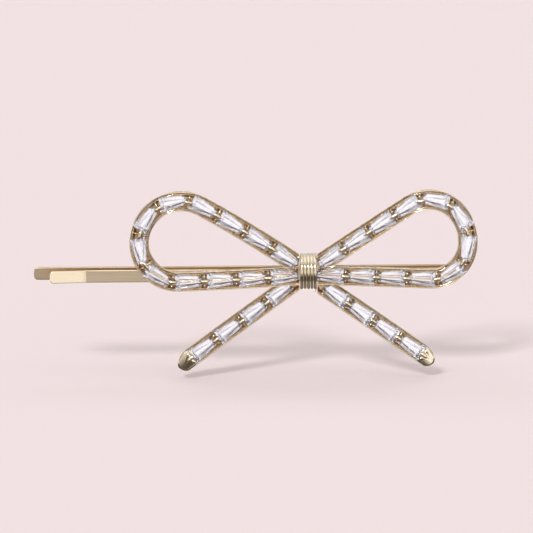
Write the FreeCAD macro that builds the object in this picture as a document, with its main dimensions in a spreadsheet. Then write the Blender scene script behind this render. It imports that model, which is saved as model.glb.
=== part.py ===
import FreeCAD, Part
import math
import os

import Sketcher
from FreeCAD import Placement, Rotation, Vector

# A rhinestone bow hair clip. X runs along the pin, with its open end at -X, the bow faces -Y and Z is up.
# The origin is in the middle of the gap between the pin's two legs, behind the knot.

DIMENSIONS = {
    # the setting's ribbons
    "ribbon_wide": (3.25, "width of a loop's ribbon"),
    "tail_wide": (3.15, "width of a tail's ribbon"),
    "loop_deep": (1.3, "depth of a loop's frame, front to back"),
    "tail_deep": (1.2, "depth of a tail's frame, front to back"),
    "layer_gap": (0.48, "gap between a loop's back and a tail's front, which the tail's stones rise into"),
    "touch_gap": (0.03, "clearance between the necks inside the knot"),
    "web": (0.4, "how far the web between two ribbons fills the sharp corner of a loop's opening"),
    "neck_half": (1.1, "half height of the necks inside the knot"),
    "neck_start": (1.5, "distance from the knot's centre to where the necks begin"),
    "neck_end": (0.03, "distance from the knot's centre to where the necks end"),
    "tip_upper": (2.36, "how far before a tail's end its rounded tip begins on the upper edge"),
    "tip_lower": (0.95, "how far before a tail's end its rounded tip begins on the lower edge"),
    "tip_below": (0.16, "how far below the tail's middle the tip's farthest point lies"),
    # the stones, all alike
    "stone_long": (4.5, "length of a stone"),
    "stone_wide": (2.75, "width at the wide end"),
    "stone_narrow": (1.5, "width at the narrow end"),
    "girdle_tall": (0.12, "height of the girdle"),
    "crown_tall": (0.58, "height of the crown above the girdle"),
    "pavilion_tall": (1.0, "depth of the pavilion below the girdle"),
    "side_bevel": (0.42, "how far the table lies inside each long side"),
    "end_bevel": (0.5, "how far the table lies inside each end"),
    "keel_share": (0.18, "width of the keel as a share of the stone's width"),
    "keel_inset": (1.1, "how far the keel lies inside each end"),
    # their seats and claws
    "girdle_drop": (0.27, "depth of the girdle's lower edge below the frame's front"),
    "seat_deep": (0.52, "depth of a stone's seat, where the pavilion rests on the ledge"),
    "seat_gap": (0.03, "clearance around a stone in its seat"),
    "ledge": (0.15, "width of the ledge under a stone"),
    "claw_wide": (0.55, "width of a claw"),
    "claw_long": (1.5, "length of a claw along the ribbon"),
    "claw_tall": (0.3, "thickness of a claw's head"),
    "claw_gap": (0.03, "clearance between a claw's head and a stone's table"),
    "post_long": (0.42, "length of a claw's post along the ribbon"),
    "post_wide": (0.34, "width of a claw's post across the ribbon"),
    # the knot
    "wire_thick": (0.54, "wire of the knot, thick turns"),
    "wire_thin": (0.46, "wire of the knot, thin turns"),
    "wire_pitch": (0.56, "distance between two turns"),
    "wrap_tall": (2.85, "half height of a turn, to the wire's centre"),
    "wrap_deep": (2.02, "half depth of a turn, to the wire's centre"),
    "wrap_end": (1.0, "radius of a turn's tight ends"),
    # the pin
    "strip_wide": (2.1, "width of the pin's strip"),
    "strip_thick": (0.5, "thickness of the pin's strip"),
    "leg_spacing": (3.1, "distance between the middles of the two legs"),
    "front_leg_end": (-43.3, "free end of the front leg"),
    "rear_leg_end": (-46.0, "free end of the rear leg"),
    "bend_at": (23.0, "where the legs run into the bend"),
    "flare_long": (6.2, "length of the front leg's flared end"),
    "flare_turn": (7.0, "angle of the flared end"),
    "pivot_gap": (0.08, "clearance at the cut between bend and rear leg"),
    "tip_corner": (0.65, "corner radius of the strip's free ends"),
    # how the bow stands on the pin
    "bow_lift": (1.0, "height of the knot's centre above the pin's middle"),
    "solder_tall": (0.9, "gap between the tails' backs and the front leg"),
    "solder_reach": (2.15, "distance of a solder joint from the knot's centre"),
    "solder_narrow": (0.5, "radius of a solder joint at the bow"),
    "solder_broad": (0.7, "radius of a solder joint at the pin"),
    "solder_drop": (1.3, "distance of a solder joint below the knot's centre"),
}

# Each ribbon's centreline starts beside the knot and is a chain of tangent arcs, each a length and a turn.
# "pitch" is the distance from stone to stone and "first" the first stone's middle, both along the line.
# "middle_gap" is extra room between the two stones that meet at a loop's outermost point.
RIBBONS = {
    "left_loop": {
        "start": (-1.0, 0.8),
        "heading": 145.2,
        "runs": [(19.75, 5.3), (8.95, 73.4), (7.7, 62.7), (8.4, 75.1), (20.5, 2.2)],
        "stones": 12,
        "first": 3.35,
        "pitch": 5.33,
        "middle_gap": 0.35,
    },
    "right_loop": {
        "start": (1.0, 0.8),
        "heading": 34.0,
        "runs": [(19.0, -1.4), (8.4, -79.1), (7.6, -58.7), (8.1, -77.4), (19.7, 0.6)],
        "stones": 12,
        "first": 3.2,
        "pitch": 5.1,
        "middle_gap": 0.45,
    },
    "left_tail": {
        "start": (-1.0, -0.95),
        "heading": 216.1,
        "runs": [(25.85, 0.0)],
        "stones": 4,
        "first": 4.7,
        "pitch": 5.3,
        "middle_gap": 0.0,
    },
    "right_tail": {
        "start": (1.0, -1.6),
        "heading": -35.1,
        "runs": [(24.45, 0.0)],
        "stones": 4,
        "first": 4.4,
        "pitch": 5.1,
        "middle_gap": 0.0,
    },
}

doc = FreeCAD.newDocument("bow_hair_clip")
sheet = doc.addObject("Spreadsheet::Sheet", "Sheet")


def enter_dimensions():
    """Fills the sheet: one row per dimension, its note, its value and its alias."""
    rows = dict(DIMENSIONS)
    for ribbon, facts in RIBBONS.items():
        rows[f"{ribbon}_first"] = (facts["first"], f"{ribbon}: middle of the first stone")
        rows[f"{ribbon}_pitch"] = (facts["pitch"], f"{ribbon}: distance from stone to stone")
        rows[f"{ribbon}_middle_gap"] = (facts["middle_gap"], f"{ribbon}: extra room at its middle")
        for n, (length, turn) in enumerate(facts["runs"], start=1):
            rows[f"{ribbon}_length_{n}"] = (length, f"{ribbon}: length of arc {n}")
            rows[f"{ribbon}_turn_{n}"] = (turn, f"{ribbon}: turn of arc {n}, degrees")
    for row, (alias, (value, note)) in enumerate(rows.items(), start=1):
        sheet.set(f"A{row}", note)
        sheet.set(f"B{row}", str(value))
        sheet.setAlias(f"B{row}", alias)
    doc.recompute()


def dim(alias):
    """The value of one named cell."""
    return float(sheet.get(alias))


enter_dimensions()

FRONT_LEG_Y = -dim("leg_spacing") / 2
REAR_LEG_Y = dim("leg_spacing") / 2
TAIL_BACK_Y = FRONT_LEG_Y - dim("strip_thick") / 2 - dim("solder_tall")
LOOP_BACK_Y = TAIL_BACK_Y - dim("tail_deep") - dim("layer_gap")


class Centreline:
    """A ribbon's centreline in the XZ plane, made of tangent arcs read from the sheet."""

    def __init__(self, ribbon):
        facts = RIBBONS[ribbon]
        self.arcs = []
        x, z = facts["start"]
        heading = math.radians(facts["heading"])
        for n in range(1, len(facts["runs"]) + 1):
            length = dim(f"{ribbon}_length_{n}")
            turn = math.radians(dim(f"{ribbon}_turn_{n}"))
            self.arcs.append((x, z, heading, length, turn))
            x, z, heading = self.along(self.arcs[-1], length)
        self.length = sum(arc[3] for arc in self.arcs)

    @staticmethod
    def along(arc, distance):
        """The point and heading at a distance along one arc."""
        x, z, heading, length, turn = arc
        if abs(turn) < 1e-9:
            return x + distance * math.cos(heading), z + distance * math.sin(heading), heading
        radius = length / turn
        after = heading + distance / radius
        return (
            x + radius * (math.sin(after) - math.sin(heading)),
            z - radius * (math.cos(after) - math.cos(heading)),
            after,
        )

    def at(self, distance):
        """The point and heading at a distance along the whole line."""
        for arc in self.arcs[:-1]:
            if distance < arc[3]:
                return self.along(arc, distance)
            distance -= arc[3]
        return self.along(self.arcs[-1], distance)

    def beside(self, distance, offset):
        """The point that lies an offset to the left of the line, as a sketch point."""
        x, z, heading = self.at(distance)
        return Vector(x - offset * math.sin(heading), z + offset * math.cos(heading), 0)

    def edge(self, offset, begin=0.0, end=None):
        """The line's parallel at an offset to the left, from begin to end, as sketch curves."""
        curves = []
        end = self.length if end is None else end
        passed = 0.0
        for arc in self.arcs:
            low = max(begin, passed)
            high = min(end, passed + arc[3])
            passed += arc[3]
            if high - low < 1e-6:
                continue
            first = self.beside(low + 1e-9, offset)
            last = self.beside(high - 1e-9, offset)
            if abs(arc[4]) < 1e-9:
                curves.append(Part.LineSegment(first, last))
            else:
                middle = self.beside((low + high) / 2, offset)
                curves.append(Part.Arc(first, middle, last))
        return curves


def ends(curve):
    """The first and last point of a sketch curve."""
    return curve.value(curve.FirstParameter), curve.value(curve.LastParameter)


def closed(curves):
    """The curves with a straight line wherever one doesn't end where the next begins."""
    joined = []
    for n, curve in enumerate(curves):
        joined.append(curve)
        here = ends(curve)[1]
        there = ends(curves[(n + 1) % len(curves)])[0]
        if here.distanceToPoint(there) > 1e-4:
            joined.append(Part.LineSegment(here, there))
    return joined


def polygon(points):
    """Straight sketch lines around the points."""
    return [Part.LineSegment(a, b) for a, b in zip(points, points[1:] + points[:1])]


def new_body(label, y=0.0):
    """A body at the bow's place: its XZ plane is the back plane of what it holds."""
    body = doc.addObject("PartDesign::Body", label)
    body.Label = label
    body.Placement = Placement(Vector(0, y, dim("bow_lift")), Rotation())
    return body


def plane(body, role):
    """One of the body's own origin planes."""
    return next(f for f in body.Origin.OriginFeatures if f.Role == role)


def sketch(body, name, curves, role="XZ_Plane", level="0"):
    """A sketch parallel to an origin plane, at a level given as an expression of the sheet's cells."""
    made = body.newObject("Sketcher::SketchObject", name)
    made.AttachmentSupport = [(plane(body, role), "")]
    made.MapMode = "FlatFace"
    made.setExpression("AttachmentOffset.Base.z", level)
    made.addGeometry(curves, False)
    return made


def pad(body, name, profile, length):
    """A pad whose length is an expression. On the XZ plane it grows towards the front."""
    made = body.newObject("PartDesign::Pad", name)
    made.Profile = profile
    made.setExpression("Length", length)
    body.Tip = made
    return made


def pocket(body, name, profile, length=None):
    """A pocket from its sketch towards the back, of a length or right through."""
    before = solid_volume(body)
    made = body.newObject("PartDesign::Pocket", name)
    made.Profile = profile
    if length is None:
        made.Type = "ThroughAll"
    else:
        made.setExpression("Length", length)
    body.Tip = made
    if solid_volume(body) >= before:
        raise RuntimeError(f"{name} cuts nothing")
    return made


def solid_volume(body):
    doc.recompute()
    return body.Shape.Volume


def trapezoid(line, middle, long, wide, narrow, towards_start):
    """A tapered outline centred at a distance along a centreline, its narrow end towards one end."""
    x, z, heading = line.at(middle)
    if not towards_start:
        heading += math.pi
    along = Vector(math.cos(heading), math.sin(heading), 0)
    across = Vector(-along.y, along.x, 0)
    centre = Vector(x, z, 0)
    return [
        centre - along * long / 2 + across * narrow / 2,
        centre - along * long / 2 - across * narrow / 2,
        centre + along * long / 2 - across * wide / 2,
        centre + along * long / 2 + across * wide / 2,
    ]


def stone_places(ribbon):
    """For each stone its middle along the ribbon, and whether its narrow end points to the ribbon's start."""
    count = RIBBONS[ribbon]["stones"]
    for n in range(count):
        far_half = ribbon.endswith("loop") and n >= count // 2
        extra = dim(f"{ribbon}_middle_gap") if far_half else 0.0
        yield dim(f"{ribbon}_first") + n * dim(f"{ribbon}_pitch") + extra, not far_half


def claw_places(ribbon):
    """The middles of the gaps between stones, and one past a tail's last stone."""
    middles = [middle for middle, towards_start in stone_places(ribbon)]
    if ribbon.endswith("tail"):
        middles.append(middles[-1] + dim(f"{ribbon}_pitch"))
    for here, there in zip(middles, middles[1:]):
        yield (here + there) / 2


def bar(line, middle, long, wide):
    """A rounded slot shape along the centreline."""
    x, z, heading = line.at(middle)
    along = Vector(math.cos(heading), math.sin(heading), 0)
    across = Vector(-along.y, along.x, 0)
    radius = wide / 2
    straight = along * (long / 2 - radius)
    centre = Vector(x, z, 0)
    far, near = centre + straight, centre - straight
    return [
        Part.LineSegment(near - across * radius, far - across * radius),
        Part.Arc(far - across * radius, far + along * radius, far + across * radius),
        Part.LineSegment(far + across * radius, near + across * radius),
        Part.Arc(near + across * radius, near - along * radius, near - across * radius),
    ]


def loop_outline(ribbon):
    """A loop's outer outline with its neck in the knot, and its opening."""
    line = Centreline(ribbon)
    side = 1 if line.at(0)[0] > 0 else -1
    half = dim("ribbon_wide") / 2
    begin = beside_neck(line, side * half, 0.0, side)
    end = beside_neck(line, side * half, line.length, side)
    outer = line.edge(side * half, begin, end)
    neck_start, neck_end, neck = side * dim("neck_start"), side * dim("neck_end"), dim("neck_half")
    first, last = ends(outer[0])[0], ends(outer[-1])[1]
    joint = [
        last,
        Vector(neck_start, -neck, 0),
        Vector(neck_end, -neck, 0),
        Vector(neck_end, neck, 0),
        Vector(neck_start, neck, 0),
        first,
    ]
    outer += [Part.LineSegment(a, b) for a, b in zip(joint, joint[1:])]
    return outer + loop_opening(line, side, half)


def beside_neck(line, offset, distance, side):
    """How far along the line its parallel passes the plane where the neck begins."""
    limit = dim("neck_start")
    step = 0.01 if distance == 0.0 else -0.01
    while side * line.beside(distance, offset).x < limit:
        distance += step
    while side * line.beside(distance, offset).x > limit + 0.01:
        distance -= step
    return distance


def loop_opening(line, side, half):
    """The opening's outline: the ribbons' inner edges, up to the web where they meet near the knot."""
    upper = line.edge(-side * half)[0]
    lower = line.edge(-side * half)[-1]
    crossing = upper.intersect(lower)[0]
    corner = Vector(crossing.X, crossing.Y, 0)
    web = dim("web")
    begin = reach(line, corner, -side * half, 0.0, line.length / 2) + web
    end = reach(line, corner, -side * half, line.length / 2, line.length) - web
    return closed(line.edge(-side * half, begin, end))


def reach(line, corner, offset, low, high):
    """How far along the line, between two limits, its parallel comes nearest to a corner."""
    steps = 2000
    distances = [low + (high - low) * n / steps for n in range(steps + 1)]
    return min(distances, key=lambda d: line.beside(d, offset).distanceToPoint(corner))


def tail_outline(ribbon):
    """A tail's outline: straight, with a neck in the knot and an obliquely rounded tip."""
    line = Centreline(ribbon)
    side = 1 if line.at(0)[0] > 0 else -1
    half = dim("tail_wide") / 2
    upper = side * half
    upper_end = line.length - dim("tip_upper")
    lower_end = line.length - dim("tip_lower")
    begin_upper = beside_neck(line, upper, 0.0, side)
    begin_lower = beside_neck(line, -upper, 0.0, side)
    neck_start, neck_end, neck = side * dim("neck_start"), side * dim("neck_end"), dim("neck_half")
    tip = Part.Arc(
        line.beside(upper_end, upper),
        line.beside(line.length, -side * dim("tip_below")),
        line.beside(lower_end, -upper),
    )
    joint = [
        line.beside(begin_lower, -upper),
        Vector(neck_start, -neck, 0),
        Vector(neck_end, -neck, 0),
        Vector(neck_end, 0, 0),
        Vector(neck_start, 0, 0),
        line.beside(begin_upper, upper),
    ]
    return [
        Part.LineSegment(line.beside(begin_upper, upper), line.beside(upper_end, upper)),
        tip,
        Part.LineSegment(line.beside(lower_end, -upper), line.beside(begin_lower, -upper)),
    ] + [Part.LineSegment(a, b) for a, b in zip(joint, joint[1:])]


def cut_cells(body, ribbon, line, name, grow, level, length):
    """Cuts a tapered cell for each stone, larger than the stone by grow; neighbours may run into each other,
    so every other cell is cut by a pocket of its own."""
    places = list(stone_places(ribbon))
    for turn in range(2):
        outlines = []
        for middle, towards_start in places[turn::2]:
            sizes = [dim(size) + grow for size in ("stone_long", "stone_wide", "stone_narrow")]
            outlines += polygon(trapezoid(line, middle, *sizes, towards_start))
        label = f"{ribbon}_{name}_{turn + 1}"
        pocket(body, label, sketch(body, f"{label}_outline", outlines, level=level), length)


def make_frame(ribbon, outline, back_y, deep):
    """A ribbon's setting: a channel with a tapered seat and window for each stone, and claws between them."""
    line = Centreline(ribbon)
    body = new_body(f"{ribbon}_frame", back_y)
    pad(body, f"{ribbon}_ribbon", sketch(body, f"{ribbon}_outline", outline), f"Sheet.{deep}")
    if ribbon.endswith("tail"):
        add_neck_step(body, ribbon, -1 if line.at(0)[0] < 0 else 1)
    cut_cells(body, ribbon, line, "seats", 2 * dim("seat_gap"), f"Sheet.{deep}", "Sheet.seat_deep")
    cut_cells(body, ribbon, line, "windows", -2 * dim("ledge"), f"Sheet.{deep}", None)
    rise = "Sheet.girdle_tall + Sheet.crown_tall - Sheet.girdle_drop + Sheet.claw_gap"
    posts, heads = [], []
    for middle in claw_places(ribbon):
        posts += bar(line, middle, dim("post_long"), dim("post_wide"))
        heads += bar(line, middle, dim("claw_long"), dim("claw_wide"))
    posts_sketch = sketch(body, f"{ribbon}_posts_outline", posts, level=f"Sheet.{deep}")
    pad(body, f"{ribbon}_posts", posts_sketch, rise)
    doc.recompute()
    heads_sketch = sketch(body, f"{ribbon}_claws_outline", heads, level=f"Sheet.{deep} + {rise}")
    pad(body, f"{ribbon}_claws", heads_sketch, "Sheet.claw_tall")
    return body


def add_neck_step(body, ribbon, side):
    """A step on a tail's neck that reaches the loop's neck in front of it."""
    low, high = -dim("neck_half"), 0.0
    near, far = side * dim("neck_end"), side * dim("neck_start")
    corners = [Vector(near, low, 0), Vector(far, low, 0), Vector(far, high, 0), Vector(near, high, 0)]
    step = sketch(body, f"{ribbon}_step_outline", polygon(corners), level="Sheet.tail_deep")
    pad(body, f"{ribbon}_step", step, "Sheet.layer_gap - Sheet.touch_gap")


def stone_section(body, name, level, long, wide, narrow):
    """One cross-section of a stone: a trapezoid, symmetric about X, with its sizes bound to the sheet."""
    half_long, half_wide, half_narrow = 2.0, 1.3, 0.8
    corners = [
        Vector(-half_long, half_narrow, 0),
        Vector(-half_long, -half_narrow, 0),
        Vector(half_long, -half_wide, 0),
        Vector(half_long, half_wide, 0),
    ]
    made = sketch(body, name, polygon(corners), level=level)
    for n in range(4):
        made.addConstraint(Sketcher.Constraint("Coincident", n, 2, (n + 1) % 4, 1))
    made.addConstraint(Sketcher.Constraint("Symmetric", 0, 1, 0, 2, -1))
    made.addConstraint(Sketcher.Constraint("Symmetric", 2, 1, 2, 2, -1))
    for constraint, size in (
        (Sketcher.Constraint("DistanceX", 0, 1, -1, 1, half_long), f"({long}) / 2"),
        (Sketcher.Constraint("DistanceX", -1, 1, 2, 1, half_long), f"({long}) / 2"),
        (Sketcher.Constraint("DistanceY", 0, 2, 0, 1, 2 * half_narrow), narrow),
        (Sketcher.Constraint("DistanceY", 2, 1, 2, 2, 2 * half_wide), wide),
    ):
        index = made.addConstraint(constraint)
        made.setExpression(f"Constraints[{index}]", size)
    return made


def make_stone(label, ribbon, place, front_y):
    """One tapered baguette: a keel, a girdle and a flat table, joined by straight facets."""
    middle, towards_start = place
    x, z, heading = Centreline(ribbon).at(middle)
    if not towards_start:
        heading += math.pi
    body = new_body(label)
    sections = [
        (
            "keel",
            "-Sheet.pavilion_tall",
            "Sheet.stone_long - 2 * Sheet.keel_inset",
            "Sheet.stone_wide * Sheet.keel_share",
            "Sheet.stone_narrow * Sheet.keel_share",
        ),
        ("girdle", "0", "Sheet.stone_long", "Sheet.stone_wide", "Sheet.stone_narrow"),
        ("edge", "Sheet.girdle_tall", "Sheet.stone_long", "Sheet.stone_wide", "Sheet.stone_narrow"),
        (
            "table",
            "Sheet.girdle_tall + Sheet.crown_tall",
            "Sheet.stone_long - 2 * Sheet.end_bevel",
            "Sheet.stone_wide - 2 * Sheet.side_bevel",
            "Sheet.stone_narrow - 2 * Sheet.side_bevel",
        ),
    ]
    made = [
        stone_section(body, f"{label}_{name}", level, long, wide, narrow)
        for name, level, long, wide, narrow in sections
    ]
    loft = body.newObject("PartDesign::AdditiveLoft", f"{label}_facets")
    loft.Profile = made[0]
    loft.Sections = made[1:]
    loft.Ruled = True
    body.Tip = loft
    turn = Rotation(Vector(0, -1, 0), math.degrees(heading))
    body.Placement = Placement(Vector(x, front_y + dim("girdle_drop"), z + dim("bow_lift")), turn)
    return body


def make_turn(label, n, thick):
    """One turn of the knot's wire: a round section along an oval of four tangent arcs."""
    tall, deep, end = dim("wrap_tall"), dim("wrap_deep"), dim("wrap_end")
    side = ((tall - end) ** 2 + deep**2 - end**2) / (2 * (deep - end))
    lean = math.atan2(tall - end, side - deep)
    far = Vector(side * math.cos(lean) - (side - deep), side * math.sin(lean), 0)
    corners = [far, Vector(-far.x, far.y, 0), Vector(-far.x, -far.y, 0), Vector(far.x, -far.y, 0)]
    through = [Vector(0, tall, 0), Vector(-deep, 0, 0), Vector(0, -tall, 0), Vector(deep, 0, 0)]
    oval = [Part.Arc(corners[k], through[k], corners[(k + 1) % 4]) for k in range(4)]
    body = new_body(label, (LOOP_BACK_Y - dim("loop_deep") + TAIL_BACK_Y) / 2)
    spine = sketch(body, f"{label}_oval", oval, role="YZ_Plane")
    wire = Part.Circle(Vector(-deep, 0, 0), Vector(0, 0, 1), dim(thick) / 2)
    profile = sketch(body, f"{label}_wire", [wire], role="XY_Plane")
    profile.AttachmentOffset = Placement(Vector(0, 0, 0), Rotation(Vector(0, 0, 1), 90))
    pipe = body.newObject("PartDesign::AdditivePipe", f"{label}_pipe")
    pipe.Profile = profile
    pipe.Spine = spine
    body.Tip = pipe
    base = body.Placement.Base
    body.Placement = Placement(base + Vector(n * dim("wire_pitch"), 0, 0), Rotation())
    return body


def make_knot():
    """The wire wrap: five turns side by side, the first, third and fifth a little thicker."""
    turns = []
    for n in range(-2, 3):
        thick = "wire_thick" if n % 2 == 0 else "wire_thin"
        turns.append(make_turn(f"knot_turn_{n + 3}", n, thick))
    wrap = doc.addObject("Part::Compound", "knot_wrap")
    wrap.Label = "knot_wrap"
    wrap.Links = turns
    return wrap


def strip_body(label, curves):
    """A piece of the pin's flat strip, from its outline seen from above."""
    body = doc.addObject("PartDesign::Body", label)
    body.Label = label
    outline = sketch(body, f"{label}_outline", curves, "XY_Plane", "-Sheet.strip_wide / 2")
    pad(body, f"{label}_strip", outline, "Sheet.strip_wide")
    return body


def round_free_end(body, limit):
    """Rounds the two corners of a strip's free end."""
    doc.recompute()
    base = body.Tip
    chosen = []
    for n, edge in enumerate(base.Shape.Edges, start=1):
        box = edge.BoundBox
        if box.XMax < limit and box.ZLength < 1e-6 and box.YLength > 0.9 * dim("strip_thick"):
            chosen.append(f"Edge{n}")
    made = body.newObject("PartDesign::Fillet", f"{body.Label}_end_round")
    made.Base = (base, chosen)
    made.setExpression("Radius", "Sheet.tip_corner")
    body.Tip = made


def make_front_leg():
    """The front leg: a flared free end, a straight run under the bow and the half-round bend."""
    half = dim("strip_thick") / 2
    end, bend = dim("front_leg_end"), dim("bend_at")
    flare = math.radians(dim("flare_turn"))
    knee = end + dim("flare_long")
    outer, inner = REAR_LEG_Y + half, REAR_LEG_Y - half
    along = Vector(-math.cos(flare), -math.sin(flare), 0)
    tip_front = Vector(knee, FRONT_LEG_Y - half, 0) + along * dim("flare_long")
    across = Vector(-math.sin(flare), math.cos(flare), 0) * dim("strip_thick")
    knee_back = Vector(knee - half * math.tan(flare / 2), FRONT_LEG_Y + half, 0)
    curves = [
        Part.LineSegment(Vector(knee, FRONT_LEG_Y - half, 0), Vector(bend, FRONT_LEG_Y - half, 0)),
        Part.Arc(Vector(bend, -outer, 0), Vector(bend + outer, 0, 0), Vector(bend, outer, 0)),
        Part.LineSegment(Vector(bend, outer, 0), Vector(bend, inner, 0)),
        Part.Arc(Vector(bend, inner, 0), Vector(bend + inner, 0, 0), Vector(bend, -inner, 0)),
        Part.LineSegment(Vector(bend, -inner, 0), knee_back),
        Part.LineSegment(knee_back, tip_front + across),
        Part.LineSegment(tip_front + across, tip_front),
        Part.LineSegment(tip_front, Vector(knee, FRONT_LEG_Y - half, 0)),
    ]
    body = strip_body("pin_front_leg", curves)
    round_free_end(body, end + 1.0)
    return body


def make_rear_leg():
    """The rear leg: a straight strip, a little longer than the front leg."""
    half = dim("strip_thick") / 2
    start = dim("bend_at") - dim("pivot_gap")
    end = dim("rear_leg_end")
    corners = [
        Vector(start, REAR_LEG_Y - half, 0),
        Vector(start, REAR_LEG_Y + half, 0),
        Vector(end, REAR_LEG_Y + half, 0),
        Vector(end, REAR_LEG_Y - half, 0),
    ]
    body = strip_body("pin_rear_leg", polygon(corners))
    round_free_end(body, end + 1.0)
    return body


def make_solder(label, side):
    """A solder joint between a tail's back and the front leg: a short cone along Y."""
    cone = doc.addObject("Part::Cone", label)
    cone.Label = label
    cone.setExpression("Radius1", "Sheet.solder_narrow")
    cone.setExpression("Radius2", "Sheet.solder_broad")
    cone.setExpression("Height", "Sheet.solder_tall")
    place = Vector(side * dim("solder_reach"), TAIL_BACK_Y, dim("bow_lift") - dim("solder_drop"))
    cone.Placement = Placement(place, Rotation(Vector(1, 0, 0), -90))
    return cone


def write(parts):
    """Checks every object and every sub-part, then writes one STEP file for each sub-part."""
    doc.recompute()
    for item in doc.Objects:
        if "Invalid" in item.State or "Error" in item.State:
            raise RuntimeError(f"{item.Label} failed: {item.State}")
    for part in parts:
        if part.Shape.isNull() or not part.Shape.isValid() or not part.Shape.Solids:
            raise RuntimeError(f"{part.Label} has no valid shape")
    os.makedirs("parts", exist_ok=True)
    for part in parts:
        part.Shape.exportStep(f"parts/{part.Label}.step")
        print(part.Label, len(part.Shape.Solids), round(part.Shape.Volume, 2))


def main():
    parts = []
    for ribbon in RIBBONS:
        is_loop = ribbon.endswith("loop")
        back_y = LOOP_BACK_Y if is_loop else TAIL_BACK_Y
        deep = "loop_deep" if is_loop else "tail_deep"
        outline = loop_outline(ribbon) if is_loop else tail_outline(ribbon)
        parts.append(make_frame(ribbon, outline, back_y, deep))
        for n, place in enumerate(stone_places(ribbon), start=1):
            parts.append(make_stone(f"{ribbon}_stone_{n:02}", ribbon, place, back_y - dim(deep)))
    parts.append(make_knot())
    parts.append(make_front_leg())
    parts.append(make_rear_leg())
    parts.append(make_solder("solder_left", -1))
    parts.append(make_solder("solder_right", 1))
    write(parts)


main()
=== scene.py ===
import math

import bmesh
import bpy
from mathutils import Matrix, Vector


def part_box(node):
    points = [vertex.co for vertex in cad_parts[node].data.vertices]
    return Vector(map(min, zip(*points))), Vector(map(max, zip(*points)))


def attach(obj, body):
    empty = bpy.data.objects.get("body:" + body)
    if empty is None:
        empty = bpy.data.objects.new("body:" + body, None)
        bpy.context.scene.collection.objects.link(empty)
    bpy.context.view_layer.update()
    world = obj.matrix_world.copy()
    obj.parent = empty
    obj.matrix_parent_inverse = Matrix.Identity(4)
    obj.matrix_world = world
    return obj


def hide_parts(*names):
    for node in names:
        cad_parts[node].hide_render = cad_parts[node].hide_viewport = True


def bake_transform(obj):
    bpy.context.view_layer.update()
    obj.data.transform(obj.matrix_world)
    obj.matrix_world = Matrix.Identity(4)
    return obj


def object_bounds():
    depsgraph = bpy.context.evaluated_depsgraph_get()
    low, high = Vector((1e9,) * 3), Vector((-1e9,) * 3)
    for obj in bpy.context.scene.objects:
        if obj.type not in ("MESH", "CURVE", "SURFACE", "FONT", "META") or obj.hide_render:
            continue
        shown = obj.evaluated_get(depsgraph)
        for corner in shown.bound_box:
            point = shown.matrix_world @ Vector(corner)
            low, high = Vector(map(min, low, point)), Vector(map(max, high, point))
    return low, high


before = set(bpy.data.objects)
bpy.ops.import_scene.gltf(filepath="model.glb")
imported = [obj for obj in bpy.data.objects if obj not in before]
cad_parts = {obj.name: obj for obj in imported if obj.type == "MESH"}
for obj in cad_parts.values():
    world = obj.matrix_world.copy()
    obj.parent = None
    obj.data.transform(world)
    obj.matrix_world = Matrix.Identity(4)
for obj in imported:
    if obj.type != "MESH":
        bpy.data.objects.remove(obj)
CAD_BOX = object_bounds()

# Everything below is in metres. MM turns the drawing's millimetres into them.
MM = 0.001

# ---------------------------------------------------------------- the bow's layout, as in the CAD model
RIBBON_HALF = 1.61 * MM
TAIL_HALF = 1.56 * MM
LOOP_DEEP = 1.3 * MM
TAIL_DEEP = 1.2 * MM
STONE_LONG = 4.5 * MM
STONE_WIDE = 2.75 * MM
STONE_NARROW = 1.5 * MM
TABLE_RISE = 0.43 * MM
GIRDLE_DROP = 0.27 * MM
NECK_HALF = 1.1 * MM
NECK_START = 1.5 * MM
NECK_END = 0.03 * MM
KNOT_Z = 1.0 * MM
WRAP_TALL = 2.85 * MM
WRAP_DEEP = 2.02 * MM
WRAP_END = 1.0 * MM
WIRE_PITCH = 0.56 * MM
THICK_WIRE_RADIUS = 0.27 * MM
THIN_WIRE_RADIUS = 0.23 * MM
BEND_X = 23.0 * MM
KNEE_X = -37.1 * MM
FLARE_LONG = 6.2 * MM
FLARE_TURN = math.radians(7.0)
STRIP_CORNER = 0.65 * MM

# Each ribbon's centreline, in the XZ plane from the knot's centre: a chain of tangent arcs (length, turn).
RIBBONS = {
    "left_loop": {
        "start": (-1.0, 0.8),
        "heading": 145.2,
        "runs": [(19.75, 5.3), (8.95, 73.4), (7.7, 62.7), (8.4, 75.1), (20.5, 2.2)],
        "stones": 12,
        "first": 3.35,
        "pitch": 5.33,
        "middle_gap": 0.35,
    },
    "right_loop": {
        "start": (1.0, 0.8),
        "heading": 34.0,
        "runs": [(19.0, -1.4), (8.4, -79.1), (7.6, -58.7), (8.1, -77.4), (19.7, 0.6)],
        "stones": 12,
        "first": 3.2,
        "pitch": 5.1,
        "middle_gap": 0.45,
    },
    "left_tail": {
        "start": (-1.0, -0.95),
        "heading": 216.1,
        "runs": [(25.85, 0.0)],
        "stones": 4,
        "first": 4.7,
        "pitch": 5.3,
        "middle_gap": 0.0,
    },
    "right_tail": {
        "start": (1.0, -1.6),
        "heading": -35.1,
        "runs": [(24.45, 0.0)],
        "stones": 4,
        "first": 4.4,
        "pitch": 5.1,
        "middle_gap": 0.0,
    },
}
LOOP_FRONT_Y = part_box("left_loop_stone_01")[0].y + TABLE_RISE
TAIL_FRONT_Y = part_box("left_tail_stone_01")[0].y + TABLE_RISE


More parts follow.
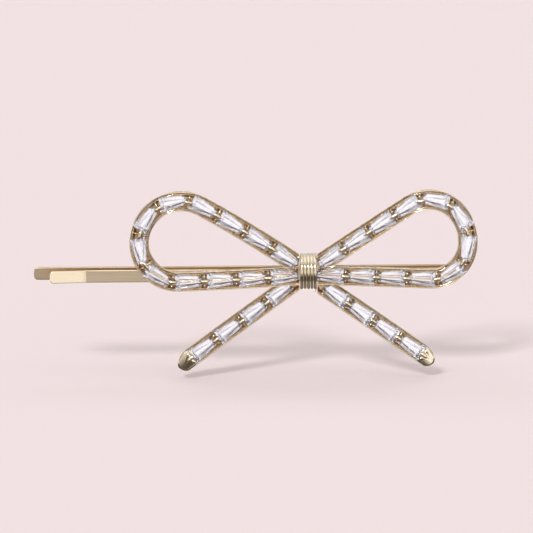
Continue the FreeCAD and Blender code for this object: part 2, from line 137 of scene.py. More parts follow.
class Centreline:
    """A ribbon's centreline. Distances along it are in metres."""

    def __init__(self, ribbon):
        facts = RIBBONS[ribbon]
        self.arcs = []
        x, z = (value * MM for value in facts["start"])
        place = (x, z, math.radians(facts["heading"]))
        for length, turn in facts["runs"]:
            self.arcs.append((*place, length * MM, math.radians(turn)))
            place = self.along(self.arcs[-1], length * MM)
        self.length = sum(arc[3] for arc in self.arcs)
        self.side = 1 if facts["start"][0] > 0 else -1

    @staticmethod
    def along(arc, distance):
        """The point and heading at a distance along one arc."""
        x, z, heading, length, turn = arc
        if abs(turn) < 1e-9:
            return x + distance * math.cos(heading), z + distance * math.sin(heading), heading
        radius = length / turn
        after = heading + distance / radius
        return (
            x + radius * (math.sin(after) - math.sin(heading)),
            z - radius * (math.cos(after) - math.cos(heading)),
            after,
        )

    def at(self, distance):
        """The point and heading at a distance along the whole line."""
        for arc in self.arcs[:-1]:
            if distance < arc[3]:
                return self.along(arc, distance)
            distance -= arc[3]
        return self.along(self.arcs[-1], distance)

    def matrix(self, distance, y):
        """Local axes at a distance: X along the line, Y towards the object's front, Z to the line's left."""
        x, z, heading = self.at(distance)
        along = Vector((math.cos(heading), 0, math.sin(heading)))
        left = Vector((-math.sin(heading), 0, math.cos(heading)))
        front = Vector((0, -1, 0))
        rows = Matrix((along, front, left)).transposed().to_4x4()
        rows.translation = Vector((x, y, z + KNOT_Z))
        return rows


def stone_places(ribbon):
    """For each stone its middle along the ribbon, and whether its narrow end points to the ribbon's start."""
    facts = RIBBONS[ribbon]
    count = facts["stones"]
    for n in range(count):
        far_half = ribbon.endswith("loop") and n >= count // 2
        extra = facts["middle_gap"] if far_half else 0.0
        yield (facts["first"] + n * facts["pitch"] + extra) * MM, not far_half


def claw_places(ribbon):
    """The middles of the gaps between stones, and one past a tail's last stone."""
    middles = [place[0] for place in stone_places(ribbon)]
    if ribbon.endswith("tail"):
        middles.append(middles[-1] + RIBBONS[ribbon]["pitch"] * MM)
    for here, there in zip(middles, middles[1:]):
        yield (here + there) / 2


# ---------------------------------------------------------------- mesh helpers
def new_object(name, bm, material, smooth_angle=35):
    """Turns a bmesh into a shown object, smooth except at edges sharper than an angle in degrees."""
    bmesh.ops.recalc_face_normals(bm, faces=bm.faces)
    mesh = bpy.data.meshes.new(name)
    bm.to_mesh(mesh)
    bm.free()
    mesh.shade_smooth()
    mesh.set_sharp_from_angle(angle=math.radians(smooth_angle))
    made = bpy.data.objects.new(name, mesh)
    bpy.context.scene.collection.objects.link(made)
    if material is not None:
        mesh.materials.append(material)
    return made


def sweep(bm, sections):
    """Joins a list of equal closed sections (lists of points) into one closed tube with flat ends."""
    rings = [[bm.verts.new(point) for point in section] for section in sections]
    count = len(rings[0])
    for here, there in zip(rings, rings[1:]):
        for n in range(count):
            m = (n + 1) % count
            bm.faces.new((here[n], here[m], there[m], there[n]))
    bm.faces.new(rings[0][::-1])
    bm.faces.new(rings[-1])


def ring_sweep(bm, sections):
    """Joins closed sections into a closed ring."""
    rings = [[bm.verts.new(point) for point in section] for section in sections]
    count = len(rings[0])
    for k in range(len(rings)):
        here, there = rings[k], rings[(k + 1) % len(rings)]
        for n in range(count):
            m = (n + 1) % count
            bm.faces.new((here[n], here[m], there[m], there[n]))


def prism(bm, matrix, outline, low, high):
    """A straight prism: an outline of (along, left) points between two heights towards the front."""
    sections = [[matrix @ Vector((a, level, b)) for a, b in outline] for level in (low, high)]
    sweep(bm, sections)


def trapezoid(grow, towards_start):
    """A stone's outline, grown by a margin on every side."""
    sign = 1 if towards_start else -1
    long = STONE_LONG / 2 + grow
    wide = STONE_WIDE / 2 + grow
    narrow = STONE_NARROW / 2 + grow
    return [(-sign * long, narrow), (-sign * long, -narrow), (sign * long, -wide), (sign * long, wide)]


def boolean(target, operation, cutter):
    """Applies one boolean to target's mesh and removes the cutter."""
    made = target.modifiers.new("boolean", "BOOLEAN")
    made.operation = operation
    made.solver = "MANIFOLD"
    made.object = cutter
    depsgraph = bpy.context.evaluated_depsgraph_get()
    mesh = bpy.data.meshes.new_from_object(target.evaluated_get(depsgraph))
    target.modifiers.remove(made)
    old = target.data
    target.data = mesh
    bpy.data.meshes.remove(old)
    bpy.data.objects.remove(cutter)


def bead(bm, centre, radii, axes, rings=8, segments=12, shape=None):
    """A rounded lump: an ellipsoid along axes[0], whose girth may follow a shape function of -1 to 1."""
    along, across, up = axes
    first = bm.verts.new(centre - along * radii[0])
    last = bm.verts.new(centre + along * radii[0])
    loops = []
    for k in range(1, rings):
        t = -math.cos(math.pi * k / rings)
        girth = math.sqrt(1 - t * t) if shape is None else shape(t)
        loop = []
        for n in range(segments):
            angle = 2 * math.pi * n / segments
            offset = across * (math.cos(angle) * radii[1] * girth) + up * (math.sin(angle) * radii[2] * girth)
            loop.append(bm.verts.new(centre + along * (t * radii[0]) + offset))
        loops.append(loop)
    for n in range(segments):
        m = (n + 1) % segments
        bm.faces.new((first, loops[0][m], loops[0][n]))
        bm.faces.new((last, loops[-1][n], loops[-1][m]))
        for here, there in zip(loops, loops[1:]):
            bm.faces.new((here[n], here[m], there[m], there[n]))


# ---------------------------------------------------------------- materials
def new_material(name):
    material = bpy.data.materials.new(name)
    material.use_nodes = True
    nodes = material.node_tree.nodes
    return material, nodes, material.node_tree.links, nodes["Principled BSDF"]


def metal(name, pale, deep, roughness, rough_spread, grain, bump, stretch=(1, 1, 1)):
    """Plated metal: its colour and roughness drift between two values, over a fine uneven surface."""
    material, nodes, links, shader = new_material(name)
    shader.inputs["Metallic"].default_value = 1.0
    place = nodes.new("ShaderNodeTexCoord")
    scale = nodes.new("ShaderNodeMapping")
    scale.inputs["Scale"].default_value = stretch
    links.new(place.outputs["Object"], scale.inputs["Vector"])
    drift = nodes.new("ShaderNodeTexNoise")
    drift.inputs["Scale"].default_value = grain * 0.18
    drift.inputs["Detail"].default_value = 3.0
    links.new(scale.outputs["Vector"], drift.inputs["Vector"])
    tint = nodes.new("ShaderNodeValToRGB")
    tint.color_ramp.elements[0].position = 0.35
    tint.color_ramp.elements[0].color = (*deep, 1)
    tint.color_ramp.elements[1].position = 0.65
    tint.color_ramp.elements[1].color = (*pale, 1)
    links.new(drift.outputs["Fac"], tint.inputs["Fac"])
    links.new(tint.outputs["Color"], shader.inputs["Base Color"])
    polish = nodes.new("ShaderNodeMapRange")
    polish.inputs["To Min"].default_value = roughness - rough_spread
    polish.inputs["To Max"].default_value = roughness + rough_spread
    links.new(drift.outputs["Fac"], polish.inputs["Value"])
    links.new(polish.outputs["Result"], shader.inputs["Roughness"])
    fine = nodes.new("ShaderNodeTexNoise")
    fine.inputs["Scale"].default_value = grain
    fine.inputs["Detail"].default_value = 2.0
    links.new(scale.outputs["Vector"], fine.inputs["Vector"])
    relief = nodes.new("ShaderNodeBump")
    relief.inputs["Strength"].default_value = bump
    relief.inputs["Distance"].default_value = 0.00002
    links.new(fine.outputs["Fac"], relief.inputs["Height"])
    links.new(relief.outputs["Normal"], shader.inputs["Normal"])
    return material


def paint_depth_shade(material, colour, begin, end):
    """Paints shade into a metal's colour: it darkens by a factor from one depth (Y) to another."""
    nodes, links = material.node_tree.nodes, material.node_tree.links
    base = nodes["Principled BSDF"].inputs["Base Color"]
    plain = base.links[0].from_socket
    parts = nodes.new("ShaderNodeSeparateXYZ")
    links.new(nodes.new("ShaderNodeTexCoord").outputs["Object"], parts.inputs["Vector"])
    depth = nodes.new("ShaderNodeMapRange")
    depth.inputs["From Min"].default_value = begin
    depth.inputs["From Max"].default_value = end
    links.new(parts.outputs["Y"], depth.inputs["Value"])
    tint = nodes.new("ShaderNodeMix")
    tint.data_type = "RGBA"
    tint.blend_type = "MULTIPLY"
    tint.inputs["B"].default_value = (*colour, 1)
    links.new(depth.outputs["Result"], tint.inputs["Factor"])
    links.new(plain, tint.inputs["A"])
    links.new(tint.outputs["Result"], base)


def crystal():
    """Clear lead glass with a trace of lavender, and a barely uneven polish."""
    material, nodes, links, shader = new_material("crystal_glass")
    shader.inputs["Base Color"].default_value = (0.96, 0.945, 0.975, 1)
    shader.inputs["Transmission Weight"].default_value = 0.94
    shader.inputs["IOR"].default_value = 1.7
    place = nodes.new("ShaderNodeTexCoord")
    drift = nodes.new("ShaderNodeTexNoise")
    drift.inputs["Scale"].default_value = 900.0
    links.new(place.outputs["Object"], drift.inputs["Vector"])
    polish = nodes.new("ShaderNodeMapRange")
    polish.inputs["To Min"].default_value = 0.0
    polish.inputs["To Max"].default_value = 0.05
    links.new(drift.outputs["Fac"], polish.inputs["Value"])
    links.new(polish.outputs["Result"], shader.inputs["Roughness"])
    return material


SETTING = metal("setting_gold_plate", (0.94, 0.86, 0.70), (0.86, 0.73, 0.53), 0.12, 0.05, 9000, 0.4)
# The recess metal is painted shade: a darker brown gold for the sunken faces between the wires, unevenly
# mottled.
RECESS_SHADE = metal("setting_gold_recess_painted_shade", (0.90, 0.70, 0.46), (0.46, 0.28, 0.15), 0.25, 0.08, 16000, 0.8)
KNOT = metal("knot_gold_plate", (0.93, 0.85, 0.68), (0.89, 0.79, 0.60), 0.12, 0.04, 5000, 0.12)
PIN = metal("pin_satin_plate", (0.95, 0.80, 0.60), (0.91, 0.76, 0.56), 0.23, 0.04, 6000, 0.2, (0.06, 1, 1))
# Painted shade: the pin's colour darkens through the bend, from its front leg to its rear leg.
paint_depth_shade(PIN, (0.80, 0.75, 0.70), -1.0 * MM, 1.0 * MM)
SOLDER = metal("solder_plate", (0.86, 0.76, 0.58), (0.78, 0.66, 0.48), 0.28, 0.08, 4000, 0.6)
CRYSTAL = crystal()


# ---------------------------------------------------------------- stones
# A stone's levels from keel to table: height, share of its width, inset at the sides, inset at the ends.
# Below the girdle the sides draw in towards the keel by a share of the width, above it by an even inset.
STONE_LEVELS = [
    (-0.98, 0.158, 0.0, 0.72),
    (-0.74, 0.368, 0.0, 0.50),
    (-0.38, 0.719, 0.0, 0.24),
    (0.00, 1.0, 0.0, 0.0),
    (0.12, 1.0, 0.0, 0.0),
    (0.44, 1.0, 0.17, 0.20),
    (0.70, 1.0, 0.42, 0.50),
]
FACET_EDGE = 0.018 * MM


def stone_level(level, towards_start):
    """The four corners of a stone at one level, as (along, left) points."""
    share, side_inset, end_inset = level[1:]
    sign = 1 if towards_start else -1
    long = STONE_LONG / 2 - end_inset * MM
    wide = STONE_WIDE / 2 * share - side_inset * MM
    narrow = STONE_NARROW / 2 * share - side_inset * MM
    return [(-sign * long, narrow), (-sign * long, -narrow), (sign * long, -wide), (sign * long, wide)]


def make_stone(name, line, middle, towards_start, front_y):
    """A step-cut tapered baguette with finely broken facet edges."""
    matrix = line.matrix(middle, front_y + GIRDLE_DROP)
    bm = bmesh.new()
    sections = []
    for level in STONE_LEVELS:
        outline = stone_level(level, towards_start)
        sections.append([matrix @ Vector((a, level[0] * MM, b)) for a, b in outline])
    sweep(bm, sections)
    bmesh.ops.recalc_face_normals(bm, faces=bm.faces)
    bmesh.ops.bevel(bm, geom=bm.edges[:], offset=FACET_EDGE, segments=1, affect="EDGES", profile=0.5)
    stone = new_object(f"{name}_cut", bm, CRYSTAL, smooth_angle=1)
    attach(stone, "bow")
    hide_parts(name)


# ---------------------------------------------------------------- frames
RAIL = 0.10 * MM
INNER_RAIL = 0.07 * MM
INNER_RAIL_IN = 0.36 * MM
WALL_GROOVE = 0.15 * MM
FLOOR_DROP = 0.92 * MM
FLOOR_HALF = 0.72 * MM
ARC_STEPS = 5
TIP_LONG = 3.4 * MM
# The parts of a claw: half sizes of its head, post, side beads and cross bar, and where they lie.
HEAD_SIZE = (0.74 * MM, 0.32 * MM, 0.22 * MM)
HEAD_RISE = 0.47 * MM
POST_SIZE = (0.5 * MM, 0.17 * MM, 0.19 * MM)
SIDE_BEAD_SIZE = (0.24 * MM, 0.22 * MM, 0.24 * MM)
SIDE_BEAD_OUT = 0.72 * MM
SIDE_BEAD_DROP = 0.16 * MM
BAR_SIZE = (0.21 * MM, 0.2 * MM)
BAR_SHORT = 0.12 * MM
BAR_DROP = 0.42 * MM


def wire_arc(u, v, radius, start, stop):
    """Points round a thin wire's section between two angles in degrees: 0 is outward, 90 is frontward."""
    for n in range(ARC_STEPS + 1):
        angle = math.radians(start + (stop - start) * n / ARC_STEPS)
        yield u + radius * math.cos(angle), v + radius * math.sin(angle)


def ribbon_profile(half, deep):
    """A ribbon's section as (left, front) points, each edge with two wires and a grooved wall."""
    inner = half - INNER_RAIL_IN
    right = [(FLOOR_HALF, -FLOOR_DROP)]
    right += wire_arc(inner, -0.16 * MM, INNER_RAIL, 180, 0)
    right.append((inner + INNER_RAIL, -0.34 * MM))
    right.append((half - 2 * RAIL, -0.34 * MM))
    right += wire_arc(half - RAIL, -RAIL, RAIL, 180, -60)
    right.append((half - WALL_GROOVE, -2.6 * RAIL))
    right.append((half - WALL_GROOVE, -deep + 2.6 * RAIL))
    right += wire_arc(half - RAIL, -deep + RAIL, RAIL, 60, -90)
    left = [(-u, v) for u, v in reversed(right)]
    return right + left


def ribbon_sections(line, half, deep, front_y, begin, end, step):
    """The ribbon's cross-sections from one distance to another."""
    count = max(2, round((end - begin) / step))
    profile = ribbon_profile(half, deep)
    sections = []
    for n in range(count + 1):
        matrix = line.matrix(begin + (end - begin) * n / count, front_y)
        sections.append([matrix @ Vector((0, v, u)) for u, v in profile])
    return sections


def solid(name, build):
    """A temporary object from a function that fills a bmesh."""
    bm = bmesh.new()
    build(bm)
    return new_object(name, bm, None)


def add_box(bm, low, high):
    """A box between two corners."""
    around = ((low[1], low[2]), (high[1], low[2]), (high[1], high[2]), (low[1], high[2]))
    sweep(bm, [[Vector((x, y, z)) for y, z in around] for x in (low[0], high[0])])


def claw_girth(t):
    """A claw's girth along its length: blunt ends and a slight waist over the bar."""
    return (1 - abs(t) ** 2.6) ** 0.55 * (1 - 0.16 * math.exp(-((t / 0.28) ** 2)))


def add_claws(bm, ribbon, line, front_y, half):
    """At each gap a long claw on a short post, a cross bar below it and a low bead on each side of it."""
    for middle in claw_places(ribbon):
        matrix = line.matrix(middle, front_y)
        along, front, left = (matrix.to_3x3().col[n].copy() for n in range(3))
        centre = matrix.translation
        bead(bm, centre + front * HEAD_RISE, HEAD_SIZE, (along, left, front), 12, 14, claw_girth)
        bead(bm, centre, POST_SIZE, (front, left, along), 8, 10)
        bar_size = (half - BAR_SHORT, *BAR_SIZE)
        bead(bm, centre - front * BAR_DROP, bar_size, (left, along, front), 14, 12, bar_girth)
        for side in (-1, 1):
            place = centre + left * (side * SIDE_BEAD_OUT) - front * SIDE_BEAD_DROP
            bead(bm, place, SIDE_BEAD_SIZE, (along, left, front), 8, 10)


def bar_girth(t):
    """A cross bar's girth: even, with rounded ends."""
    return (1 - abs(t) ** 8) ** 0.5


# Beads beside a stone: their place towards its narrow end as a share of its length, and their radius.
WEDGE_BEADS = ((0.44, 0.19), (0.34, 0.17), (0.24, 0.15), (0.14, 0.13), (0.04, 0.11))
WEDGE_BEAD_DROP = 0.48 * MM
RIB_PITCH = 0.85 * MM


def add_wedge_beads(bm, ribbon, line, front_y, half):
    """Beaded filling between a rail and the slanting sides of each stone, smaller towards its wide end."""
    for middle, towards_start in stone_places(ribbon):
        sign = -1 if towards_start else 1
        for share, radius in WEDGE_BEADS:
            matrix = line.matrix(middle + sign * share * STONE_LONG, front_y)
            along, front, left = (matrix.to_3x3().col[n].copy() for n in range(3))
            edge = STONE_WIDE / 2 - (STONE_WIDE - STONE_NARROW) / 2 * (0.5 + share)
            offset = (edge + half - INNER_RAIL_IN - INNER_RAIL) / 2
            for side in (-1, 1):
                place = matrix.translation + left * (side * offset) - front * WEDGE_BEAD_DROP
                bead(bm, place, (radius * MM * 0.8, radius * MM, radius * MM), (along, left, front), 6, 10)


def add_ribs(bm, line, front_y, half, deep, begin, end):
    """Upright ribs in the grooved walls between the front and the back wire."""
    for n in range(round((end - begin) / RIB_PITCH)):
        matrix = line.matrix(begin + (n + 0.5) * RIB_PITCH, front_y)
        along, front, left = (matrix.to_3x3().col[n].copy() for n in range(3))
        for side in (-1, 1):
            place = matrix.translation + left * (side * (half - WALL_GROOVE)) - front * deep / 2
            bead(bm, place, (deep / 2 - 0.06 * MM, 0.11 * MM, 0.1 * MM), (front, along, left), 6, 8)


def cut_cells(target, ribbon, line, front_y, deep):
    """Cuts each stone's seat and window."""
    for grow, low, high in ((0.025 * MM, -0.6 * MM, 0.30 * MM), (-0.15 * MM, -deep - MM, MM)):
        for turn in range(2):
            bm = bmesh.new()
            for middle, towards_start in list(stone_places(ribbon))[turn::2]:
                prism(bm, line.matrix(middle, front_y), trapezoid(grow, towards_start), low, high)
            boolean(target, "DIFFERENCE", new_object("cells", bm, None))


def make_frame(ribbon):
    """A ribbon's setting, from rails, bars, beads and claws, as one closed mesh."""
    line = Centreline(ribbon)
    is_loop = ribbon.endswith("loop")
    half, deep = (RIBBON_HALF, LOOP_DEEP) if is_loop else (TAIL_HALF, TAIL_DEEP)
    front_y = LOOP_FRONT_Y if is_loop else TAIL_FRONT_Y
    step = 0.5 * MM if is_loop else 1.5 * MM
    middle = line.length / 2
    past_end, overlap, into_tip = 1.5 * MM, 0.3 * MM, 0.8 * MM

    def channel(begin, end):
        return lambda bm: sweep(bm, ribbon_sections(line, half, deep, front_y, begin, end, step))

    if is_loop:
        body = solid(f"{ribbon}_setting", channel(-past_end, middle + overlap))
        boolean(body, "UNION", solid("half", channel(middle, line.length + past_end)))
    else:
        body = solid(f"{ribbon}_setting", channel(-past_end, line.length - TIP_LONG + into_tip))
        boolean(body, "UNION", tail_tip(line, half, deep, front_y))
    side = line.side
    reach = 8 * MM
    inner, outer = sorted((side * NECK_START, -side * reach))
    corners = (inner, front_y - reach, -reach), (outer, front_y + reach, reach)
    boolean(body, "DIFFERENCE", solid("knot_space", lambda bm: add_box(bm, *corners)))
    near, far = sorted((side * NECK_END, side * (NECK_START + 0.2 * MM)))
    top = NECK_HALF if is_loop else 0.0
    neck_front = front_y if is_loop else front_y - 0.45 * MM
    ends = (near, neck_front, KNOT_Z - NECK_HALF), (far, front_y + deep, KNOT_Z + top)
    boolean(body, "UNION", solid("neck", lambda bm: add_box(bm, *ends)))
    boolean(body, "UNION", solid("beads", lambda bm: add_wedge_beads(bm, ribbon, line, front_y, half)))
    rib_end = line.length - (0.5 if is_loop else 4.0) * MM
    ribs = solid("ribs", lambda bm: add_ribs(bm, line, front_y, half, deep, 0.8 * MM, rib_end))
    boolean(body, "UNION", ribs)
    cut_cells(body, ribbon, line, front_y, deep)
    boolean(body, "UNION", solid("claws", lambda bm: add_claws(bm, ribbon, line, front_y, half)))
    body.data.materials.clear()
    # The second material paints shade into the sunken faces between the wires.
    body.data.materials.append(SETTING)
    body.data.materials.append(RECESS_SHADE)
    paint_recess_shade(body, line, front_y, deep, is_loop)
    body.data.shade_smooth()
    body.data.set_sharp_from_angle(angle=math.radians(40))
    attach(body, "bow")
    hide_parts(f"{ribbon}_frame")
    for n, (place, towards_start) in enumerate(stone_places(ribbon), start=1):
        make_stone(f"{ribbon}_stone_{n:02}", line, place, towards_start, front_y)


def paint_recess_shade(body, line, front_y, deep, is_loop):
    """Paints shade into the sunken faces between the wires: they take the darker brown, unevenly mottled
    recess metal.
    """
    to_line = line.matrix(0, front_y).inverted()
    for face in body.data.polygons:
        centre = to_line @ face.center
        on_tip = not is_loop and centre.x > line.length - TIP_LONG
        sunken = -deep + 0.22 * MM < centre.y < -0.13 * MM
        face.material_index = 1 if sunken and not on_tip else 0


def tail_tip(line, half, deep, front_y):
    """A tail's polished solid end: cut obliquely, with rounded corners and edges."""
    side = line.side
    start = line.length - TIP_LONG
    outline = [(start, -side * half), (line.length - 1.5 * MM, -side * half)]
    corner, tip = Vector((line.length - 1.1 * MM, -side * half)), Vector((line.length, -0.1 * side * half))
    top = Vector((line.length - 1.5 * half, side * half))
    low_bend = Vector((line.length - 0.2 * MM, -0.85 * side * half))
    high_bend = Vector((line.length - 0.2 * MM, 0.75 * side * half))
    for here, bend, there in ((corner, low_bend, tip), (tip, high_bend, top)):
        for n in range(12):
            t = n / 12
            outline.append(tuple(here.lerp(bend, t).lerp(bend.lerp(there, t), t)))
    outline.append(tuple(top))
    outline.append((start, side * half))
    bm = bmesh.new()
    matrix = line.matrix(0, front_y)
    prism(bm, matrix, outline, -deep, 0.02 * MM)
    bmesh.ops.recalc_face_normals(bm, faces=bm.faces)
    matrix_back = matrix.inverted()
    rim = []
    for edge in bm.edges:
        ends = [matrix_back @ vert.co for vert in edge.verts]
        flat = abs(ends[0].y - ends[1].y) < 1e-7
        if flat and max(p.x for p in ends) > start + 0.2 * MM:
            rim.append(edge)
    bmesh.ops.bevel(bm, geom=rim, offset=0.34 * MM, segments=5, affect="EDGES", profile=0.5)
    return new_object("tip", bm, None)


# ---------------------------------------------------------------- knot, solder and pin
def oval(tall, deep, end, count):
    """Points (front, up) round an oval of four tangent arcs, evenly spread by angle of the normal."""
    side = ((tall - end) ** 2 + deep**2 - end**2) / (2 * (deep - end))
    lean = math.atan2(tall - end, side - deep)
    points = []
    for n in range(count):
        angle = 2 * math.pi * n / count
        folded = math.atan2(abs(math.sin(angle)), abs(math.cos(angle)))
        if folded < lean:
            x, z = side * math.cos(folded) - (side - deep), side * math.sin(folded)
        else:
            x, z = end * math.cos(folded), tall - end + end * math.sin(folded)
        normal = Vector((math.cos(angle), math.sin(angle)))
        points.append((Vector((math.copysign(x, normal.x), math.copysign(z, normal.y))), normal))
    return points


def make_knot():
    """Five turns of wire side by side, and the wire's end tucked over the left ribbon."""
    low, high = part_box("knot_wrap")
    centre = (low + high) / 2
    bm = bmesh.new()
    for n in range(-2, 3):
        radius = THICK_WIRE_RADIUS if n % 2 == 0 else THIN_WIRE_RADIUS
        sections = []
        for (front, up), normal in oval(WRAP_TALL, WRAP_DEEP, WRAP_END, 96):
            middle = Vector((n * WIRE_PITCH, centre.y - front, centre.z + up))
            out = Vector((0, -normal.x, normal.y))
            section = []
            for k in range(20):
                angle = 2 * math.pi * k / 20
                spoke = Vector((1, 0, 0)) * math.cos(angle) + out * math.sin(angle)
                section.append(middle + spoke * radius)
            sections.append(section)
        ring_sweep(bm, sections)
    wire_end = Vector((-3.05 * WIRE_PITCH, LOOP_FRONT_Y + 0.12 * MM, KNOT_Z + 2.62 * MM))
    axes = (Vector((0.6, 0, 0.8)), Vector((0.8, 0, -0.6)), Vector((0, -1, 0)))
    bead(bm, wire_end, (0.42 * MM, THICK_WIRE_RADIUS, THICK_WIRE_RADIUS), axes, 10, 16)
    knot = new_object("knot_wire", bm, KNOT, 60)
    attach(knot, "bow")
    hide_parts("knot_wrap")


def make_solder(node):
    """A solder fillet: waisted, spread wide on the leg and on the tail's back."""
    low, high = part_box(node)
    centre = (low + high) / 2
    bm = bmesh.new()
    sections = []
    for n in range(13):
        t = n / 12
        radius = (0.42 + 0.13 * (1 - t) ** 3 + 0.28 * t**3) * MM
        middle = Vector((centre.x, low.y + t * (high.y - low.y), centre.z))
        section = []
        for k in range(24):
            angle = 2 * math.pi * k / 24
            section.append(middle + Vector((math.cos(angle), 0, math.sin(angle))) * radius)
        sections.append(section)
    sweep(bm, sections)
    fillet = new_object(f"{node}_fillet", bm, SOLDER)
    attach(fillet, "bow")
    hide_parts(node)


def strip_section(width, thick):
    """A strip's section (across, up) with rounded edges and a point beside each to keep its flats flat."""
    round_by = min(0.11 * MM, 0.42 * thick, 0.42 * width)
    beside = 0.2 * round_by
    points = []
    for cx, cz, start in ((1, 1, 0), (-1, 1, 90), (-1, -1, 180), (1, -1, 270)):
        centre = Vector((cx * (thick / 2 - round_by), cz * (width / 2 - round_by)))
        turns = [math.radians(start + 22.5 * n) for n in range(5)]
        arc = [centre + Vector((math.cos(turn), math.sin(turn))) * round_by for turn in turns]
        first = arc[0] - Vector((-math.sin(turns[0]), math.cos(turns[0]))) * beside
        last = arc[-1] + Vector((-math.sin(turns[-1]), math.cos(turns[-1]))) * beside
        points += [first, *arc, last]
    return points


def strip(name, path, width, thick, corner):
    """A strip along a path of (point, heading in the XY plane), its first end rounded."""
    bm = bmesh.new()
    sections = []
    travelled = 0.0
    before = path[0][0]
    for point, heading in path:
        travelled += (point - before).length
        before = point
        inset = 0.0
        if travelled < corner:
            inset = corner - math.sqrt(max(0.0, corner**2 - (corner - travelled) ** 2))
        side = Vector((-math.sin(heading), math.cos(heading), 0))
        outline = strip_section(width - 2 * inset, thick)
        sections.append([point + side * a + Vector((0, 0, b)) for a, b in outline])
    sweep(bm, sections)
    return new_object(name, bm, PIN, 50)


def straight(start, end, count):
    """Evenly spread points from start to end with their heading, the last one left out."""
    heading = math.atan2(end.y - start.y, end.x - start.x)
    return [(start.lerp(end, n / count), heading) for n in range(count)]


def rounded_start(start, end, corner):
    """Closely spaced points where a strip's end is rounded."""
    direction = (end - start).normalized()
    heading = math.atan2(direction.y, direction.x)
    return [(start + direction * corner * (1 - math.cos(math.pi / 2 * n / 8)), heading) for n in range(8)]


def quarter_bend(radius):
    """The path of the rear half of the bend, from the rear leg's root to the bend's outermost point."""
    path = []
    for n in range(13):
        angle = math.pi / 2 * n / 12
        path.append((Vector((BEND_X + radius * math.sin(angle), radius * math.cos(angle), 0)), -angle))
    return path


def make_pin():
    """The pin: its front leg with half of the bend rides with the bow; the rest is a strip of its own with
    the rear leg.
    """
    front_low, front_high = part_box("pin_front_leg")
    rear_low, rear_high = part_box("pin_rear_leg")
    width = front_high.z - front_low.z
    thick = rear_high.y - rear_low.y
    rear_y = (rear_low.y + rear_high.y) / 2
    knee = Vector((KNEE_X, -rear_y, 0))
    forward = Vector((math.cos(FLARE_TURN), math.sin(FLARE_TURN), 0))
    tip = knee - forward * FLARE_LONG
    path = rounded_start(tip, knee, STRIP_CORNER) + straight(tip + forward * STRIP_CORNER, knee, 6)
    for n in range(5):
        path.append((knee + Vector((0.12 * MM * (n - 1), 0, 0)), FLARE_TURN * (1 - n / 4)))
    path += straight(knee + Vector((0.6 * MM, 0, 0)), Vector((BEND_X, -rear_y, 0)), 20)
    path += [(Vector((point.x, -point.y, 0)), -heading) for point, heading in quarter_bend(rear_y)]
    front = strip("pin_front_strip", path, width, thick, STRIP_CORNER)
    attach(front, "bow")
    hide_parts("pin_front_leg")
    end = Vector((rear_low.x, rear_y, 0))
    root = Vector((BEND_X, rear_y, 0))
    path = rounded_start(end, root, STRIP_CORNER) + straight(end + Vector((STRIP_CORNER, 0, 0)), root, 60)
    path += quarter_bend(rear_y)
    rear = strip("pin_rear_strip", path, width, thick, STRIP_CORNER)
    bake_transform(rear)
    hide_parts("pin_rear_leg")


# ---------------------------------------------------------------- floor, light and camera
FLOOR_GAP = 1.5 * MM
FLOOR_REACH = 20.0


def make_floor():
    """A plain pale floor just under the tail tips. It keeps out of the mirror of the metal and the stones."""
    level = CAD_BOX[0].z - FLOOR_GAP
    corners = [(x * FLOOR_REACH, y * FLOOR_REACH, level) for x, y in ((-1, -1), (1, -1), (1, 1), (-1, 1))]
    bm = bmesh.new()
    bm.faces.new([bm.verts.new(corner) for corner in corners])
    material, _, _, shader = new_material("floor_paper")
    shader.inputs["Roughness"].default_value = 0.9
    shader.inputs["Specular IOR Level"].default_value = 0.0
    shader.inputs["Base Color"].default_value = (0.823, 0.719, 0.734, 1)
    floor = new_object("floor", bm, material)
    floor.visible_glossy = False
    floor.visible_transmission = False


def soft_spot(nodes, links, vector, direction, inner, outer):
    """1 outside a round patch of sky about a direction and 0 inside it, between two angles in degrees."""
    aim = nodes.new("ShaderNodeVectorMath")
    aim.operation = "DOT_PRODUCT"
    aim.inputs[1].default_value = Vector(direction).normalized()
    links.new(vector, aim.inputs[0])
    patch = nodes.new("ShaderNodeMapRange")
    patch.interpolation_type = "SMOOTHSTEP"
    patch.inputs["From Min"].default_value = math.cos(math.radians(outer))
    patch.inputs["From Max"].default_value = math.cos(math.radians(inner))
    patch.inputs["To Min"].default_value = 1.0
    patch.inputs["To Max"].default_value = 0.0
    links.new(aim.outputs["Value"], patch.inputs["Value"])
    return patch.outputs["Result"]


# The studio's brightness from straight down (0) to straight up (1): bright above, dark in the lower half.
STUDIO_RAMP = [
    (0.00, 0.22),
    (0.08, 0.14),
    (0.18, 0.05),
    (0.37, 0.06),
    (0.43, 0.46),
    (0.50, 0.85),
    (0.64, 1.0),
    (0.74, 0.9),
    (0.79, 0.35),
    (0.85, 1.0),
    (1.00, 1.0),
]
# Its dark flags: a direction, and the angles where each is dark and where it has faded away.
FLAGS = [
    ((0.0, 0.25, 0.97), 8, 16),
    ((-0.62, -0.76, 0.16), 8, 15),
    ((0.66, -0.70, 0.20), 7, 14),
    ((-0.93, -0.20, 0.30), 11, 19),
    ((0.95, -0.10, 0.32), 10, 18),
    ((0.30, -0.70, 0.65), 6, 12),
    ((-0.40, -0.55, 0.72), 6, 13),
    ((0.55, 0.70, 0.30), 14, 24),
    ((-0.45, 0.80, 0.25), 12, 22),
    ((0.0, 0.98, 0.18), 12, 24),
]
# Its two low cards, which the flared end of the pin and the underside of the knot reflect.
CARDS = [
    ((0.28, -0.94, -0.20), 10, 15),
    ((0.0, 0.90, -0.43), 20, 40),
]


STUDIO_STRENGTH = 1.15
# How far the stones are lit through by a pale studio, and its colour.
GLASS_LIFT = 0.72
GLASS_LIGHT = (1.0, 0.97, 1.02, 1)


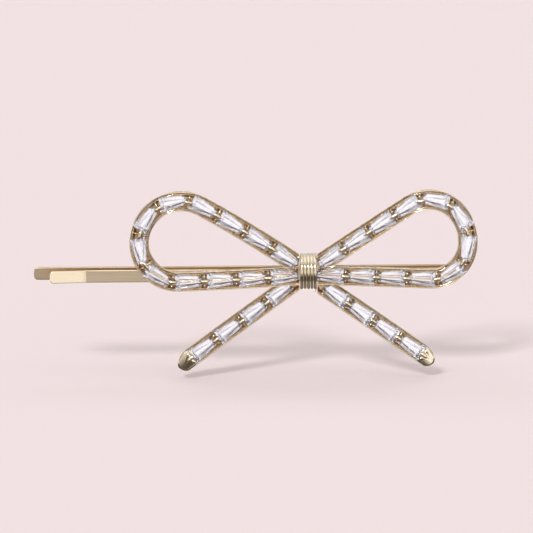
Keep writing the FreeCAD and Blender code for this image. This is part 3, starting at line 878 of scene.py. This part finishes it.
def make_world():
    """A soft studio, bright above and dark below, whose flags give metal and stones their contrast."""
    world = bpy.data.worlds.new("studio")
    bpy.context.scene.world = world
    world.use_nodes = True
    nodes, links = world.node_tree.nodes, world.node_tree.links
    vector = nodes.new("ShaderNodeTexCoord").outputs["Generated"]
    parts = nodes.new("ShaderNodeSeparateXYZ")
    links.new(vector, parts.inputs["Vector"])
    height = nodes.new("ShaderNodeMapRange")
    height.inputs["From Min"].default_value = -1.0
    links.new(parts.outputs["Z"], height.inputs["Value"])
    ramp = nodes.new("ShaderNodeValToRGB")
    elements = ramp.color_ramp.elements
    elements[0].position, elements[1].position = STUDIO_RAMP[0][0], STUDIO_RAMP[-1][0]
    for position, grey in STUDIO_RAMP[1:-1]:
        elements.new(position)
    for element, (position, grey) in zip(elements, STUDIO_RAMP):
        element.color = (grey, grey, grey, 1)
    links.new(height.outputs["Result"], ramp.inputs["Fac"])
    light = ramp.outputs["Color"]
    for flag in FLAGS:
        spot = soft_spot(nodes, links, vector, *flag)
        light = combine(nodes, links, "MULTIPLY", light, spot)
    for card in CARDS:
        flip = nodes.new("ShaderNodeMath")
        flip.operation = "SUBTRACT"
        flip.inputs[0].default_value = 1.0
        links.new(soft_spot(nodes, links, vector, *card), flip.inputs[1])
        light = combine(nodes, links, "MAXIMUM", light, flip.outputs["Value"])
    tint = nodes.new("ShaderNodeValToRGB")
    tint.color_ramp.elements[0].color = (0.03, 0.02, 0.015, 1)
    tint.color_ramp.elements[1].color = (1.0, 0.99, 0.985, 1)
    middle = tint.color_ramp.elements.new(0.4)
    middle.color = (0.42, 0.37, 0.33, 1)
    links.new(light, tint.inputs["Fac"])
    path = nodes.new("ShaderNodeLightPath")
    lift = nodes.new("ShaderNodeMath")
    lift.operation = "MULTIPLY"
    lift.inputs[1].default_value = GLASS_LIFT
    links.new(path.outputs["Is Transmission Ray"], lift.inputs[0])
    through = nodes.new("ShaderNodeMix")
    through.data_type = "RGBA"
    through.inputs["B"].default_value = GLASS_LIGHT
    links.new(lift.outputs["Value"], through.inputs["Factor"])
    links.new(tint.outputs["Color"], through.inputs["A"])
    links.new(through.outputs["Result"], nodes["Background"].inputs["Color"])
    nodes["Background"].inputs["Strength"].default_value = STUDIO_STRENGTH


def combine(nodes, links, operation, first, second):
    """One maths node on two outputs."""
    made = nodes.new("ShaderNodeMath")
    made.operation = operation
    links.new(first, made.inputs[0])
    links.new(second, made.inputs[1])
    return made.outputs["Value"]


LIGHT_TRAVEL = (0.455, 1.46, -1.0)
ELEVATION = math.radians(10)
ROLL = math.radians(-0.43)
CAMERA_DISTANCE = 1.0
SHOWN_WIDTH = 88.8 * MM


def make_lights():
    """A soft key from the front left and above, whose shadows fall back and to the right."""
    key = bpy.data.lights.new("key", "SUN")
    key.energy = 1.5
    key.angle = math.radians(10)
    made = bpy.data.objects.new("key", key)
    made.rotation_mode = "QUATERNION"
    made.rotation_quaternion = Vector(LIGHT_TRAVEL).to_track_quat("-Z", "Y")
    bpy.context.scene.collection.objects.link(made)


def make_camera():
    """A long lens straight in front of the bow and a little above it."""
    data = bpy.data.cameras.new("camera")
    data.sensor_width = 36
    data.lens = data.sensor_width * CAMERA_DISTANCE / SHOWN_WIDTH
    camera = bpy.data.objects.new("camera", data)
    bpy.context.scene.collection.objects.link(camera)
    bpy.context.scene.camera = camera
    back = Vector((0, -math.cos(ELEVATION), math.sin(ELEVATION)))
    target = Vector((-6.98 * MM, LOOP_FRONT_Y, 2.18 * MM))
    camera.rotation_mode = "QUATERNION"
    turn = (-back).to_track_quat("-Z", "Y").to_matrix() @ Matrix.Rotation(ROLL, 3, "Z")
    camera.rotation_quaternion = turn.to_quaternion()
    camera.location = target + back * CAMERA_DISTANCE
    data.clip_start, data.clip_end = 0.01, 60
    bpy.context.scene.view_settings.view_transform = "Standard"


for name in RIBBONS:
    make_frame(name)
make_knot()
make_solder("solder_left")
make_solder("solder_right")
make_pin()
make_floor()
make_world()
make_lights()
make_camera()
